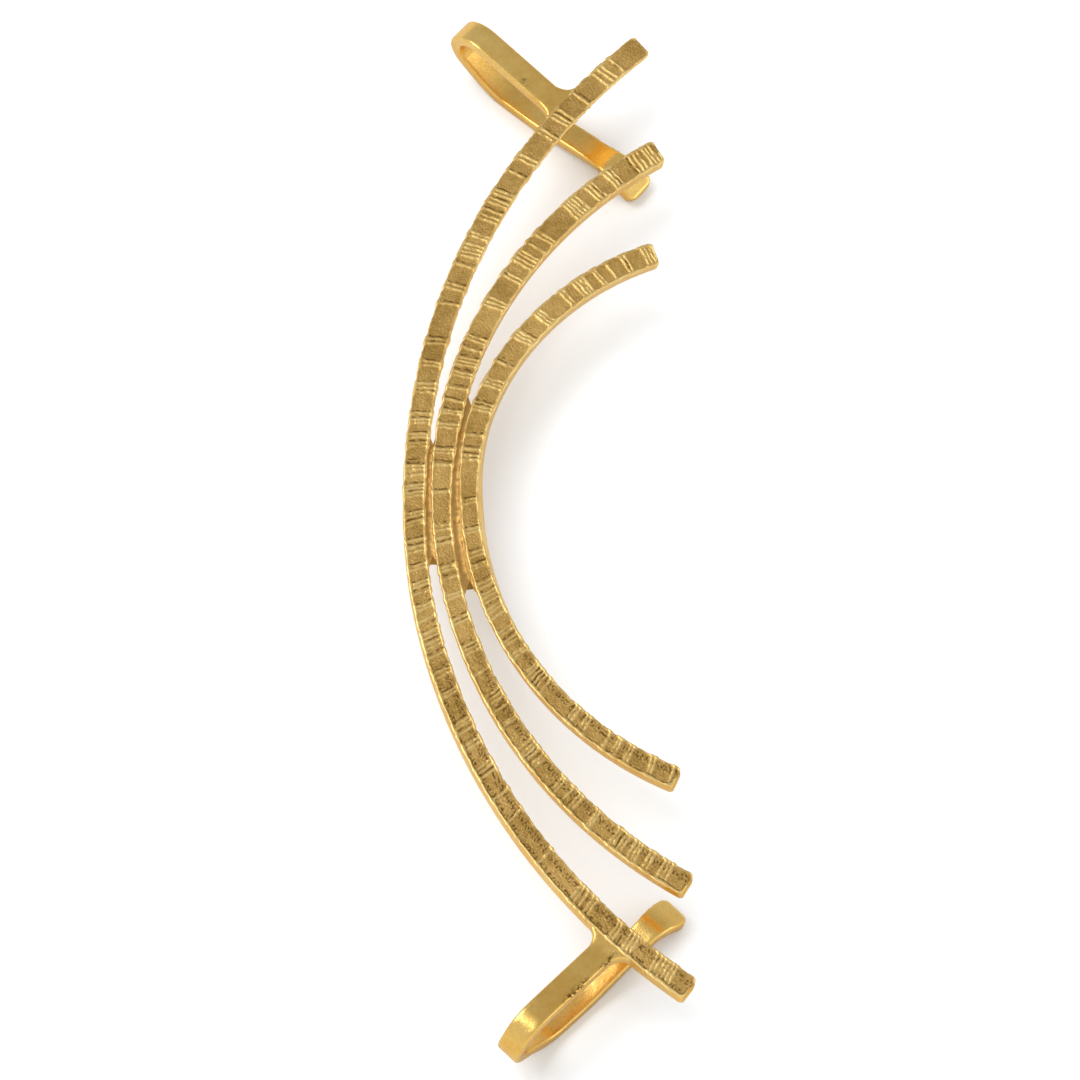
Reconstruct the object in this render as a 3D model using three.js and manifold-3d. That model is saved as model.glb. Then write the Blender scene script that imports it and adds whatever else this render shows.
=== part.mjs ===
// Three-bar ear cuff with two strip clips, one piece of cast and soldered metal.
// Millimetres, +Z up. It lies on the backs of its clips, with the bars level above them:
// +Y runs from the lobe end to the top of the ear, and the bars curve round the +X side.
import * as THREE from 'three';
import { mergeVertices } from 'three/addons/utils/BufferGeometryUtils.js';
import Module from 'manifold-3d';

const wasm = await Module();
wasm.setup();

// Bars: curved strips of one section. Each is two arcs that meet at its left-most point, one
// up to its upper end and one down to its lower end. Arc lengths are angles in degrees.
const BAR_WIDTH = 1.6;
const BAR_THICK = 1.15;
const BAR_EDGE = 0.1; // chamfer round the top and bottom faces
const BAR_CORNER = 0.28; // rounding of a bar's corners, seen from above
const OUTER_BAR = { left: -8.02, y: 0.08, upper: [41.98, 51.9], lower: [42.35, 51.9] };
const MIDDLE_BAR = { left: -6.15, y: 0.16, upper: [28.63, 61.8], lower: [31.18, 57.8] };
const INNER_BAR = { left: -4.47, y: 0.75, upper: [17.95, 73.6], lower: [21.71, 65] };

// Solder webs fill the narrow gap between neighbouring bars round the middle of the cuff.
const WEB_WIDTH = 0.8;
const WEB_BELOW_TOP = 0.4;
const WEB_ABOVE_BOTTOM = 0.12;
// How far each web reaches up and down from where the bars' arcs meet.
const OUTER_WEB = { upper: 5.1, lower: 3.1 }; // between the outer and the middle bar
const INNER_WEB = { upper: 7.1, lower: 5.3 }; // between the middle and the inner bar

// Clips: flat strips that leave the outer bar's side, turn back under the bars and end in a
// paddle that curls away from the ear. Each has its place on the bar, the heading of its front
// leg, how much longer than the other that leg is, and the turn of its back leg about a point
// so far out from the bar, which twists the strip at its bend.
const CLIP_WIDTH = 1.7;
const CLIP_THICK = 0.85;
const CLIPS = [
  { arc: 'upper', at: 42.7, heading: 44.5, longer: 0, backTurn: 2.5, turnedAt: 8 },
  { arc: 'lower', at: -44, heading: -44.5, longer: 0.42, backTurn: -2.5, turnedAt: 0 },
];
const CLIP_ROOT = 0.9; // length of the strip inside the bar
const CLIP_BELOW_TOP = 0.25; // how far the strip's face starts below the bar's
const FRONT_RISE = 7;
const CLIP_PATH = [
  { straight: 6.28, front: true }, // rising away from the bar
  { turnTo: -90, radius: 2 }, // round the far end
  { turnTo: -142, radius: 1.8 },
  { straight: 2.76 },
  { turnTo: -180, radius: 0.8 },
  { straight: 2.7 }, // flat belly that the cuff lies on
  { turnTo: -191, radius: 6 }, // up towards the bars, to pinch the ear
  { straight: 4.9 },
  { turnTo: -147, radius: 2 }, // the paddle curls away
  { straight: 1.5 },
];
const PADDLE = { start: -3.4, full: -5, halfWidth: 0.95, corner: 0.42 };
const TWIST_TOP = -0.8; // heights between which the strip twists
const TWIST_BOTTOM = -4.2;

// Solder fillet where a clip meets the bar: points of one side, out from the bar and across.
const FILLET_OUTLINE = [[-0.6, 2.1], [0, 1.75], [0.2, 1.3], [0.6, 0.98], [1.5, 0.85]];
const FILLET_BELOW_TOP = 0.26;

const DEGREES = Math.PI / 180;
const ARC_STEP = 2.6 * DEGREES; // longest facet of a bar, as an angle
const TURN_STEP = 12 * DEGREES; // longest facet of a clip's bend
const CORNER_FACETS = 3;
const REACH = 12; // how far cutting solids reach past what they cut

// A curve's points from one angle to another, in steps no longer than the one given.
function arcPoints(cx, cy, radius, from, to, step) {
  const count = Math.ceil(Math.abs(to - from) / step);
  const points = [];
  for (let i = 0; i <= count; i += 1) {
    const angle = from + ((to - from) * i) / count;
    points.push(new THREE.Vector2(cx + radius * Math.cos(angle), cy + radius * Math.sin(angle)));
  }
  return points;
}

// A rounded corner: from one point round a sharp corner to the next.
function cornerPoints(from, corner, to) {
  return new THREE.QuadraticBezierCurve(from, corner, to).getPoints(CORNER_FACETS);
}

// Outline of a curved band seen from above, with rounded corners at its two ends.
function bandOutline({ left, y, upper, lower }, width, corner) {
  const [upperRadius, lowerRadius] = [upper[0], lower[0]];
  const [start, end] = [Math.PI - upper[1] * DEGREES, Math.PI + lower[1] * DEGREES];
  const at = (radius, offset, angle) => new THREE.Vector2(
    left + radius + (radius + offset) * Math.cos(angle), y + (radius + offset) * Math.sin(angle));
  const arc = (radius, offset, from, to) =>
    arcPoints(left + radius, y, radius + offset, from, to, ARC_STEP);
  const half = width / 2;
  const upperCorner = (offset, trim) => at(upperRadius, offset, start + trim / upperRadius);
  const lowerCorner = (offset, trim) => at(lowerRadius, offset, end - trim / lowerRadius);
  const [upperTrim, lowerTrim] = [corner / upperRadius, corner / lowerRadius];
  return [
    ...arc(upperRadius, half, start + upperTrim, Math.PI),
    ...arc(lowerRadius, half, Math.PI, end - lowerTrim).slice(1),
    ...cornerPoints(lowerCorner(half, corner), lowerCorner(half, 0), lowerCorner(half - corner, 0)),
    ...cornerPoints(
      lowerCorner(corner - half, 0), lowerCorner(-half, 0), lowerCorner(-half, corner)),
    ...arc(lowerRadius, -half, end - lowerTrim, Math.PI),
    ...arc(upperRadius, -half, Math.PI, start + upperTrim).slice(1),
    ...cornerPoints(
      upperCorner(-half, corner), upperCorner(-half, 0), upperCorner(corner - half, 0)),
    ...cornerPoints(upperCorner(half - corner, 0), upperCorner(half, 0), upperCorner(half, corner)),
  ];
}

// A closed three.js geometry as a manifold solid.
function solid(geometry) {
  geometry.deleteAttribute('normal');
  geometry.deleteAttribute('uv');
  const merged = mergeVertices(geometry, 1e-5);
  return new wasm.Manifold(new wasm.Mesh({
    numProp: 3,
    vertProperties: new Float32Array(merged.attributes.position.array),
    triVerts: new Uint32Array(merged.index.array),
  }));
}

// A flat outline raised from one height to another.
function raised(points, bottom, top) {
  const geometry = new THREE.ExtrudeGeometry(new THREE.Shape(points), {
    depth: top - bottom,
    bevelEnabled: false,
  });
  return solid(geometry.translate(0, 0, bottom));
}

// One bar, with its top face at height 0.
function makeBar(bar) {
  const outline = bandOutline(bar, BAR_WIDTH - 2 * BAR_EDGE, BAR_CORNER);
  const geometry = new THREE.ExtrudeGeometry(new THREE.Shape(outline), {
    depth: BAR_THICK - 2 * BAR_EDGE,
    bevelEnabled: true,
    bevelThickness: BAR_EDGE,
    bevelSize: BAR_EDGE,
    bevelSegments: 1,
  });
  return solid(geometry.translate(0, 0, BAR_EDGE - BAR_THICK));
}

// The web between two neighbouring bars: a short band half way between them.
function makeWeb(first, second, reach) {
  const between = (key) => {
    const radius = (first[key][0] + second[key][0]) / 2;
    return [radius, reach[key] / radius / DEGREES];
  };
  const band = {
    left: (first.left + second.left) / 2,
    y: (first.y + second.y) / 2,
    upper: between('upper'),
    lower: between('lower'),
  };
  const outline = bandOutline(band, WEB_WIDTH, WEB_WIDTH / 4);
  return raised(outline, WEB_ABOVE_BOTTOM - BAR_THICK, -WEB_BELOW_TOP);
}

// Centre line of a clip seen from the side: a list of points with the direction at each.
function clipCentreLine(longer) {
  const start = { along: -CLIP_ROOT, height: -CLIP_BELOW_TOP - CLIP_THICK / 2, heading: 0 };
  let [along, height, heading] = [0, start.height, FRONT_RISE * DEGREES];
  const line = [start, { along, height, heading: 0 }];
  for (const { straight, turnTo, radius, front } of CLIP_PATH) {
    if (straight) {
      along += (straight + (front ? longer : 0)) * Math.cos(heading);
      height += straight * Math.sin(heading); // the same in both clips, so the cuff lies level
      line.push({ along, height, heading });
    } else {
      const [from, target] = [heading, turnTo * DEGREES];
      const reach = Math.sign(target - from) * radius;
      const [cx, cy] = [along - reach * Math.sin(from), height + reach * Math.cos(from)];
      const count = Math.max(2, Math.ceil(Math.abs(target - from) / TURN_STEP));
      for (let i = 1; i <= count; i += 1) {
        heading = from + ((target - from) * i) / count;
        along = cx + reach * Math.sin(heading);
        height = cy - reach * Math.cos(heading);
        line.push({ along, height, heading });
      }
    }
  }
  return line;
}

// Side outline of a clip: its centre line set off by half the thickness to each side.
function clipSideOutline(line) {
  const offset = (side) => ({ along, height, heading }) =>
    new THREE.Vector2(
      along - side * (CLIP_THICK / 2) * Math.sin(heading),
      height + side * (CLIP_THICK / 2) * Math.cos(heading));
  return [...line.map(offset(1)), ...line.map(offset(-1)).reverse()];
}

// Outline of a clip from above, as [length outwards, distance across] points.
function clipPlanOutline(end) {
  const side = [
    [REACH, CLIP_WIDTH / 2],
    [PADDLE.start, CLIP_WIDTH / 2],
    [PADDLE.full, PADDLE.halfWidth],
  ];
  const tip = cornerPoints(
    new THREE.Vector2(end + PADDLE.corner, PADDLE.halfWidth),
    new THREE.Vector2(end, PADDLE.halfWidth),
    new THREE.Vector2(end, PADDLE.halfWidth - PADDLE.corner));
  const half = [...side.map(([x, y]) => new THREE.Vector2(x, y)), ...tip];
  return [...half, ...half.map(({ x, y }) => new THREE.Vector2(x, -y)).reverse()];
}

// A clip along +X from the outer bar's side, then set at its place on the bar.
function makeClip({ arc, at, heading, longer, backTurn, turnedAt }) {
  const line = clipCentreLine(longer);
  const side = new THREE.ExtrudeGeometry(new THREE.Shape(clipSideOutline(line)), {
    depth: 2 * REACH,
    bevelEnabled: false,
  });
  const strip = solid(side.translate(0, 0, -REACH).rotateX(Math.PI / 2));
  const end = Math.min(...line.map(({ along }) => along));
  const plan = raised(clipPlanOutline(end), -REACH, REACH);
  const fillet = [...FILLET_OUTLINE, ...FILLET_OUTLINE.map(([x, y]) => [x, -y]).reverse()];
  const root = raised(
    fillet.map(([x, y]) => new THREE.Vector2(x, y)), -CLIP_THICK, -FILLET_BELOW_TOP);
  const [radius] = OUTER_BAR[arc];
  const edge = radius + BAR_WIDTH / 2;
  const place = [
    OUTER_BAR.left + radius - edge * Math.cos(at * DEGREES),
    OUTER_BAR.y + edge * Math.sin(at * DEGREES),
    0,
  ];
  const clip = strip.intersect(plan).warp((point) => {
    const share = (TWIST_TOP - point[2]) / (TWIST_TOP - TWIST_BOTTOM);
    const turn = backTurn * DEGREES * Math.min(1, Math.max(0, share));
    const [x, y] = [point[0] - turnedAt, point[1]];
    point[0] = turnedAt + x * Math.cos(turn) - y * Math.sin(turn);
    point[1] = x * Math.sin(turn) + y * Math.cos(turn);
  });
  return clip.add(root).rotate([0, 0, 180 - heading]).translate(place);
}

// All the metal as one solid, standing at height 0 with the origin under its middle.
function makeCuff() {
  let metal = makeBar(OUTER_BAR).add(makeBar(MIDDLE_BAR)).add(makeBar(INNER_BAR));
  metal = metal.add(makeWeb(OUTER_BAR, MIDDLE_BAR, OUTER_WEB));
  metal = metal.add(makeWeb(MIDDLE_BAR, INNER_BAR, INNER_WEB));
  for (const clip of CLIPS) {
    metal = metal.add(makeClip(clip));
  }
  const mesh = metal.getMesh();
  const geometry = new THREE.BufferGeometry();
  geometry.setAttribute('position', new THREE.BufferAttribute(mesh.vertProperties, 3));
  geometry.setIndex(new THREE.BufferAttribute(mesh.triVerts, 1));
  geometry.computeBoundingBox();
  const { min, max } = geometry.boundingBox;
  geometry.translate(-(min.x + max.x) / 2, -(min.y + max.y) / 2, -min.z);
  geometry.computeVertexNormals();
  return geometry;
}

const gold = new THREE.MeshStandardMaterial({ color: 0xcfa650, roughness: 0.3, metalness: 1 });
const cuff = new THREE.Mesh(makeCuff(), gold);
cuff.name = 'ear_cuff';

const group = new THREE.Group();
group.add(cuff);

export default group;
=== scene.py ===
# %% [markdown]
# # A gold ear cuff with three textured bars and two strip clips
#
# The real cuff is one piece of cast and soldered brass, plated with gold. Three curved bars are
# joined round their middle and spread out into free ends. Their faces have a thin raised rim,
# cross ridges like the joints of bamboo, and rough sunken cells between them. Two polished
# strips leave the longest bar, fold back under the bars and end in a paddle that curls away.
#
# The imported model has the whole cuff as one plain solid. Here each part that the eye tells
# apart is modelled again as a detailed piece of its own, in the same place.

import math

import bpy
import numpy as np
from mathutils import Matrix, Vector, noise


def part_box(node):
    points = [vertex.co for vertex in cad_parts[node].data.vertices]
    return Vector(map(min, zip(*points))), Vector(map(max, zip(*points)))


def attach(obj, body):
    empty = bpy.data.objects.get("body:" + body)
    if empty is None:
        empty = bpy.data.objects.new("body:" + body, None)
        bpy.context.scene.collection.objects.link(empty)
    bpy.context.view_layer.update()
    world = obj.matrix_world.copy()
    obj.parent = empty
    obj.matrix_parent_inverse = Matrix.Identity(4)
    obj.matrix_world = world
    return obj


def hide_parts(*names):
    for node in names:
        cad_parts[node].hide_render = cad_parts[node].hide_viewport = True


MM = 0.001

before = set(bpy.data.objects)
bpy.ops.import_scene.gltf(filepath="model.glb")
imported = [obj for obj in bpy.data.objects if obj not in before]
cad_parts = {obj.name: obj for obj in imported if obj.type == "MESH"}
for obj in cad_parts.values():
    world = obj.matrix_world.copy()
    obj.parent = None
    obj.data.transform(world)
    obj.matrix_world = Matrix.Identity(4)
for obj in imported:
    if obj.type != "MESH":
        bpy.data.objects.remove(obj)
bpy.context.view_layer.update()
NODE = "ear_cuff"
lowest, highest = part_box(NODE)
print("cuff box in mm", [round(side / MM, 2) for side in highest - lowest])

# %% [markdown]
# ## Selecting without a window
#
# A mesh operator acts on whatever is selected, so each step below starts from nothing selected
# and picks its points or faces by their place. Two small helpers do that: one for leaving
# object mode with only one piece active, and one that selects points by a test on their place.


# %% Helpers for modelling with operators
def only(piece):
    """Leaves one piece selected and active, in object mode."""
    if bpy.context.object and bpy.context.object.mode != "OBJECT":
        bpy.ops.object.mode_set(mode="OBJECT")
    bpy.ops.object.select_all(action="DESELECT")
    piece.select_set(True)
    bpy.context.view_layer.objects.active = piece


def select_points(piece, wanted):
    """Selects the points of a piece whose place passes a test, and goes to edit mode."""
    only(piece)
    bpy.ops.object.mode_set(mode="EDIT")
    bpy.ops.mesh.select_mode(type="VERT")
    bpy.ops.mesh.select_all(action="DESELECT")
    bpy.ops.object.mode_set(mode="OBJECT")
    for point in piece.data.vertices:
        point.select = bool(wanted(point.co))
    bpy.ops.object.mode_set(mode="EDIT")


def select_edges(piece, wanted):
    """Selects the edges of a piece whose two ends pass a test, and goes to edit mode."""
    only(piece)
    bpy.ops.object.mode_set(mode="EDIT")
    bpy.ops.mesh.select_mode(type="EDGE")
    bpy.ops.mesh.select_all(action="DESELECT")
    bpy.ops.object.mode_set(mode="OBJECT")
    points = piece.data.vertices
    for edge in piece.data.edges:
        first, second = (points[i].co for i in edge.vertices)
        edge.select = bool(wanted(first, second))
    bpy.ops.object.mode_set(mode="EDIT")


def apply_modifiers(piece):
    """Makes the effect of a piece's modifiers part of its mesh."""
    only(piece)
    for modifier in list(piece.modifiers):
        bpy.ops.object.modifier_apply(modifier=modifier.name)


def close_and_face_out(piece):
    """Merges doubles, fills any open end and points every face outwards."""
    only(piece)
    bpy.ops.object.mode_set(mode="EDIT")
    bpy.ops.mesh.select_mode(type="EDGE")
    bpy.ops.mesh.select_all(action="SELECT")
    bpy.ops.mesh.remove_doubles(threshold=0.0005 * MM)
    bpy.ops.mesh.select_all(action="DESELECT")
    bpy.ops.mesh.select_non_manifold(extend=False)
    if piece.data.total_edge_sel:
        bpy.ops.mesh.edge_face_add()
    bpy.ops.mesh.select_all(action="SELECT")
    bpy.ops.mesh.normals_make_consistent(inside=False)
    bpy.ops.object.mode_set(mode="OBJECT")


def show_size(piece):
    """Prints a piece's sides and its count of triangles."""
    triangles = sum(len(face.vertices) - 2 for face in piece.data.polygons)
    size = [round(side / MM, 2) for side in piece.dimensions]
    print(piece.name, size, "mm", triangles, "triangles")


# %% [markdown]
# ## The bars: one section, swept round two arcs
#
# Every bar starts from the same flat section with rounded edges. In plan it is two arcs that
# meet smoothly at its left-most point, one up to its upper end and one down to its lower end.
# A curve with a bevel would do, but the top face needs many narrow strips for the ridges, so
# the section is drawn as a plane with a finely divided top edge and then spun round the two
# centres, which keeps the strips running true along the bar.

# %% Sizes of the bars
BAR_TOP = 5.607 * MM
BAR_WIDTH = 1.66 * MM
BAR_THICK = 1.15 * MM
BAR_ROUND = 0.12 * MM
BAR_END_ROUND = 0.1 * MM  # less than the section's own rounding, or its corners would cross
BAR_CORNER = 0.42  # in mm, the rounding of the ends seen from above
TOP_STRIPS, SIDE_CUTS = 28, 4
SPIN_STEP = 0.4 * MM
ALONG_CUTS = 8  # each spun step is cut this many times for the fine relief
TINY = 0.001 * MM  # two places nearer than this are taken as the same

# The left-most point of each centre line in mm, and each arc's radius in mm and angle in degrees.
BARS = {
    "outer_bar": {"left": -8.26, "y": 0.587, "upper": (41.98, 52.1), "lower": (42.35, 51.9)},
    "middle_bar": {"left": -6.39, "y": 0.667, "upper": (28.63, 61.8), "lower": (31.18, 57.8)},
    "inner_bar": {"left": -4.71, "y": 1.257, "upper": (17.95, 73.6), "lower": (21.71, 65.0)},
}


# %% Draw the section of a bar
def section_plane(name, width, thick, corner, segments):
    """A plane standing across the Y axis with its upper edge at height 0 and round corners."""
    bpy.ops.object.select_all(action="DESELECT")
    bpy.ops.mesh.primitive_plane_add(size=1, rotation=(math.pi / 2, 0, 0))
    piece = bpy.context.object
    piece.name = piece.data.name = name
    bpy.ops.object.transform_apply(location=True, rotation=True, scale=True)
    bpy.ops.object.mode_set(mode="EDIT")
    bpy.ops.mesh.select_all(action="SELECT")
    bpy.ops.transform.resize(value=(width, 1, thick))
    bpy.ops.transform.translate(value=(0, 0, -thick / 2))
    bpy.ops.mesh.bevel(affect="VERTICES", offset=corner, segments=segments)
    bpy.ops.object.mode_set(mode="OBJECT")
    return piece


def divide_edges(piece, wanted, cuts):
    """Cuts the edges that pass a test into equal lengths."""
    select_edges(piece, wanted)
    bpy.ops.mesh.subdivide(number_cuts=cuts)
    bpy.ops.object.mode_set(mode="OBJECT")


def bar_section(name):
    """A bar's section, with many strips along its top and a few down its sides."""
    piece = section_plane(name, BAR_WIDTH, BAR_THICK, BAR_ROUND, 3)
    divide_edges(piece, lambda a, b: min(a.z, b.z) > -TINY, TOP_STRIPS - 1)
    divide_edges(piece, lambda a, b: min(abs(a.x), abs(b.x)) > BAR_WIDTH / 2 - TINY, SIDE_CUTS)
    return piece


# %% [markdown]
# Spin is the right tool for an arc: it extrudes the section in small equal turns. The section
# is first carried round to the bar's upper end, then spun back down to the left-most point
# about the upper centre, and on to the lower end about the lower centre. The ends of a cast bar
# aren't sharp, so each end face is inset a few times, a little further out each time, along a
# quarter circle. A bevel would do too, but it would also cut the long edges beside it.


# %% Helpers for spun arcs and rounded ends
def turned(angle):
    """Rotate and spin turn clockwise here, so an angle's sign is changed for both."""
    return -angle


def spin_section(centre, angle, steps, axis=(0, 0, 1)):
    """Spins the selected section about a centre by an angle in radians."""
    bpy.ops.mesh.spin(steps=steps, angle=turned(angle), center=centre, axis=axis)


def round_end(radius, steps=4):
    """Rounds the selected end face by a few insets that follow a quarter circle."""
    for step in range(steps):
        here, after = (math.pi / 2 * k / steps for k in (step, step + 1))
        bpy.ops.mesh.inset(
            thickness=radius * (math.cos(here) - math.cos(after)),
            depth=radius * (math.sin(after) - math.sin(here)),
        )


def select_face_at(piece, place):
    """Selects the face whose middle is nearest a place."""
    only(piece)
    bpy.ops.object.mode_set(mode="EDIT")
    bpy.ops.mesh.select_mode(type="FACE")
    bpy.ops.mesh.select_all(action="DESELECT")
    bpy.ops.object.mode_set(mode="OBJECT")
    nearest = min(piece.data.polygons, key=lambda face: (face.center - place).length)
    nearest.select = True
    bpy.ops.object.mode_set(mode="EDIT")


def point_on(bar, side, angle, offset=0.0, height=0.0):
    """A place on a bar's upper or lower arc, at an angle from its left-most point, in metres."""
    radius, _ = bar[side]
    sign = 1 if side == "upper" else -1
    x = bar["left"] + radius - (radius + offset) * math.cos(angle)
    y = bar["y"] + sign * (radius + offset) * math.sin(angle)
    return Vector((x * MM, y * MM, BAR_TOP + height * MM))


# %% Spin the three bars
def make_bar(name):
    """Spins a bar from its upper end to its lower one and rounds both ends."""
    bar = BARS[name]
    (upper_radius, upper_angle), (lower_radius, lower_angle) = bar["upper"], bar["lower"]
    upper_centre = Vector(((bar["left"] + upper_radius) * MM, bar["y"] * MM, 0))
    lower_centre = Vector(((bar["left"] + lower_radius) * MM, bar["y"] * MM, 0))
    end_trim = BAR_END_ROUND / MM
    upper_sweep = math.radians(upper_angle) - end_trim / upper_radius
    lower_sweep = math.radians(lower_angle) - end_trim / lower_radius
    piece = bar_section(name)
    bpy.ops.object.mode_set(mode="EDIT")
    bpy.ops.mesh.select_mode(type="FACE")
    bpy.ops.mesh.select_all(action="SELECT")
    bpy.ops.transform.translate(value=(bar["left"] * MM, bar["y"] * MM, BAR_TOP))
    bpy.ops.transform.rotate(
        value=turned(-upper_sweep), orient_axis="Z", center_override=upper_centre
    )
    upper_steps = round(upper_sweep * upper_radius * MM / SPIN_STEP)
    lower_steps = round(lower_sweep * lower_radius * MM / SPIN_STEP)
    spin_section(upper_centre, upper_sweep, upper_steps)
    spin_section(lower_centre, lower_sweep, lower_steps)
    close_and_face_out(piece)
    for side, sweep in (("upper", upper_sweep), ("lower", lower_sweep)):
        middle = point_on(bar, side, sweep, height=-BAR_THICK / MM / 2)
        select_face_at(piece, middle)
        round_end(BAR_END_ROUND)
        bpy.ops.object.mode_set(mode="OBJECT")
    return piece


bars = {name: make_bar(name) for name in BARS}
for made in bars.values():
    show_size(made)

# %% [markdown]
# ## A chart of the ridges
#
# The ridges stand at uneven distances, single or in groups, and give the cuff its bark-like or
# bamboo-like face. They could be left to a random number, but their rhythm is what the eye
# knows the piece by, so they are charted: distances in millimetres along each bar from its
# left-most point, positive towards the top of the ear. A second chart has the places where a
# groove beside a ridge is cut deeper, which is drawn with a thin line of painted shade for the
# groove's dark steep flank.

# %% The charts
RIDGES = {
    "outer_bar": [
        *(35.9, 35.2, 34.85, 34.4, 32.5, 31.0, 30.6, 30.3, 29.2, 28.9, 26.95, 26.6, 25.55),
        *(24.0, 23.7, 23.3, 23.0, 22.4, 22.0, 21.7, 20.55, 20.3, 19.7, 19.4, 19.1, 18.8, 18.1),
        *(16.6, 16.3, 15.15, 12.5, 12.2, 10.85, 10.6, 9.3, 8.95, 8.65, 7.15, 6.7, 6.45, 5.65),
        *(5.4, 5.0, 4.75, 3.4, 3.1, 2.75, 2.0, 1.75, 1.5, 1.25, 0.1, -0.15, -0.55, -0.8),
        *(-1.85, -2.3, -2.65, -3.6, -3.85, -4.8, -5.05, -5.55, -6.4, -6.65, -7.4, -8.3, -8.65),
        *(-9.05, -9.35, -10.0, -11.1, -11.45, -12.6, -12.85, -14.85, -15.1, -15.55, -16.4),
        *(-16.7, -18.15, -18.45, -18.8, -20.45, -22.15, -25.5, -28.6, -28.9, -29.3, -29.8),
        *(-30.1, -32.1, -32.4, -33.2, -33.5, -33.8, -35.45, -35.75, -36.05, -36.35, -36.65),
        *(-36.95,),
    ],
    "middle_bar": [
        *(30.45, 30.2, 29.95, 29.55, 29.25, 28.95, 27.5, 27.25, 27.0, 26.0, 25.75, 25.45),
        *(24.6, 24.3, 24.05, 23.8, 23.55, 21.2, 20.9, 20.15, 19.45, 19.2, 18.9, 18.6, 17.6),
        *(17.35, 15.6, 15.3, 15.0, 12.6, 12.35, 11.7, 11.0, 10.75, 10.5, 9.95, 9.7, 8.8, 7.9),
        *(7.15, 6.95, 6.2, 5.95, 4.4, 4.15, 3.3, 1.4, -0.95, -1.25, -1.8, -2.2, -3.85, -4.1),
        *(-4.65, -5.8, -6.05, -7.5, -7.8, -9.45, -9.7, -10.0, -11.5, -13.1, -13.4, -13.7),
        *(-14.3, -15.25, -15.45, -17.2, -17.55, -17.85, -18.1, -18.55, -18.8, -20.6, -20.85),
        *(-21.6, -22.2, -22.5, -23.85, -24.05, -25.7, -25.95, -26.3, -26.6, -27.1, -27.4),
        *(-27.65, -28.3, -28.6, -29.4, -29.7, -30.0),
    ],
    "inner_bar": [
        *(22.75, 22.5, 22.25, 21.1, 20.85, 19.85, 19.05, 18.85, 18.1, 17.85, 17.6, 17.35),
        *(16.55, 16.3, 14.6, 14.35, 14.1, 12.65, 12.4, 12.15, 10.15, 8.9, 8.6, 8.35, 7.05),
        *(6.8, 6.55, 4.75, 3.75, 3.3, 3.0, 0.2, -0.05, -1.85, -2.1, -3.5, -3.8, -4.4, -4.6),
        *(-5.7, -6.0, -6.45, -6.7, -7.05, -7.5, -7.75, -8.2, -9.25, -9.5, -10.0, -10.25, -11.0),
        *(-11.25, -12.45, -12.7, -13.0, -13.3, -13.6, -14.0, -16.5, -16.8, -17.5, -17.8),
        *(-19.4, -20.1, -20.3, -21.0, -21.25, -22.65, -22.9, -24.2),
    ],
}
# Where a groove beside a ridge is cut deeper, and drawn with a thin line of painted shade.
SHADED_GROOVES = {
    "outer_bar": [
        *(35.8, 32.7, 30.75, 29.35, 25.7, 24.15, 23.45, 22.6, 18.3, 16.75, 15.35, 12.7, 12.4),
        *(11.0, 9.5, 8.8, 7.3, 6.85, 5.8, 5.2, 3.85, 3.65, 3.55, 2.2, 1.65, 0.25, -0.35),
        *(-1.65, -2.1, -3.45, -4.65, -5.25, -6.2, -7.7, -8.1, -8.8, -9.7, -11.0, -12.45, -14.6),
        *(-15.25, -16.1, -18.3, -18.65, -20.2, -22.0, -32.75),
    ],
    "middle_bar": [
        *(28.75, 27.4, 25.9, 17.5, 12.75, 11.9, 11.2, 10.2, 9.05, 8.05, 7.35, 6.45, 4.6, 3.6),
        *(1.6, -0.7, -2.0, -3.6, -4.4, -7.3, -7.65, -9.2, -9.6, -13.25, -14.1, -15.55, -17.95),
        *(-18.3, -20.4, -22.05, -26.15, -28.1),
    ],
    "inner_bar": [
        *(21.0, 12.85, 10.55, 10.3, 7.25, 6.95, 4.95, 3.95, 3.5, 3.15, 0.35, -1.7, -3.3, -4.2),
        *(-5.45, -6.25, -7.2, -9.75, -12.85, -13.15, -13.45, -13.8, -16.35, -17.3),
    ],
}
print({name: len(chart) for name, chart in RIDGES.items()}, "ridges")

# %% [markdown]
# ## Carving the face
#
# By hand this would be weight painting followed by a Displace modifier, and that is what the
# next cells do. Cuts across the spun steps first give the face enough points. Then each point
# gets two weights, worked out from how far along and across the bar it is: how deep it sinks
# below the rim, which drives a Displace modifier, and how much painted shade it gets, which is
# kept for the material. A noise texture alone would give roughness but not the rims and ridges.

# %% Sizes of the relief, in mm where no unit is given
CELL_DEPTH = 0.1 * MM
RIM_SLOPE = 0.08
WAVER = 0.05  # how far the edges of the rims and the ridges waver
RIM_AT_RIDGE = 0.09  # how much wider the rim is where a ridge runs into it
RIDGE_HALF = 0.09
RIDGE_SLOPE = 0.1
SWELL = 0.1
HALF_WIDTH = BAR_WIDTH / MM / 2
STATIONS_BESIDE_MIDDLE = (-6, 0, 6)
# Shares of the cells' depth: the floor, its grain at the top of the ear and how much more it
# gets towards the lobe, its pits there, the wear and gaps of the ridges, and the tool's cuts.
FLOOR, GRAIN, MORE_GRAIN, PITS = 0.85, 0.18, 0.12, 0.7
RIDGE_WEAR, RIDGE_GAPS, CUT_DEPTH = 0.2, 0.4, 0.35
# How strong the painted shade is in the cuts, in the specks and in the line at the foot of the left
# rim.
CUT_SHADE, SPECK_SHADE, RIM_FOOT_SHADE = 0.9, 0.85, 0.7
# How far a bar's face reaches to its left and right of the centre line, in mm, at five places:
# the lower end, 6 mm below the middle, the middle, 6 mm above it and the upper end.
FACE = {
    "outer_bar": ((0.85, 0.79, 0.68, 0.62, 0.86), (0.82, 0.63, 0.77, 0.92, 0.86)),
    "middle_bar": ((0.85, 0.75, 0.7, 0.82, 0.92), (0.82, 0.62, 0.58, 0.74, 0.86)),
    "inner_bar": ((0.82, 0.61, 0.53, 0.85, 0.84), (0.76, 0.75, 0.66, 0.65, 0.82)),
}
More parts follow.
